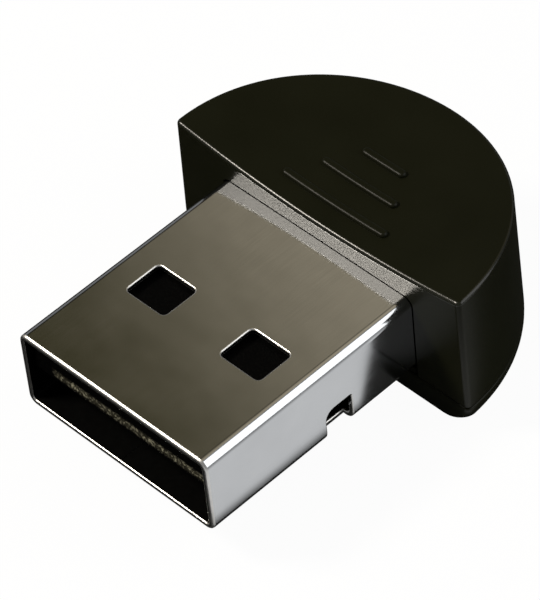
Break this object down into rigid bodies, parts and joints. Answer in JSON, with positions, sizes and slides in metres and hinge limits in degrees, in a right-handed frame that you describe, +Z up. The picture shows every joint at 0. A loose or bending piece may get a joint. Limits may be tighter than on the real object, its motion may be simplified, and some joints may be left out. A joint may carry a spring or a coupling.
{
  "type": "usb bluetooth adapter",
  "caption": "Small USB Bluetooth adapter: a folded steel USB A plug in a D-shaped black plastic head with a scooped, ribbed thumb rest.",
  "frame": {"origin": "middle of the bounding box in X and Y, on the plane the flat base of the head stands on", "axes": "+Z up out of the thumb rest, +Y from the mouth of the plug to the nose of the head, +X across"},
  "size_m": [0.0184, 0.0222, 0.0083],
  "materials": {
    "black_satin_plastic": "satin, fine grain",
    "nickel_plated_steel": "bright nickel",
    "black_insulator_plastic": "matt",
    "gold_plated_bronze": "gold plated",
    "green_laminate": "solder mask",
    "black_epoxy_resin": "matt",
    "crystal_lid_metal": "satin",
    "white_ceramic": "matt",
    "brown_ceramic": "matt",
    "dark_ferrite": "matt",
    "black_film_ceramic": "matt"
  },
  "bodies": {
    "root": {"top_cover": "black_satin_plastic", "bottom_cover": "black_satin_plastic", "plug_shell": "nickel_plated_steel", "plug_insulator": "black_insulator_plastic", "contact_vbus": "gold_plated_bronze", "contact_data_minus": "gold_plated_bronze", "contact_data_plus": "gold_plated_bronze", "contact_ground": "gold_plated_bronze", "circuit_board": "green_laminate", "radio_chip": "black_epoxy_resin", "memory_chip": "black_epoxy_resin", "voltage_regulator": "black_epoxy_resin", "crystal": "crystal_lid_metal", "chip_antenna": "white_ceramic", "matching_inductor": "dark_ferrite", "matching_capacitor": "brown_ceramic", "ferrite_bead": "dark_ferrite", "capacitor_1": "brown_ceramic", "capacitor_2": "brown_ceramic", "capacitor_3": "brown_ceramic", "capacitor_4": "brown_ceramic", "data_resistor_1": "black_film_ceramic", "data_resistor_2": "black_film_ceramic"}
  },
  "joints": []
}
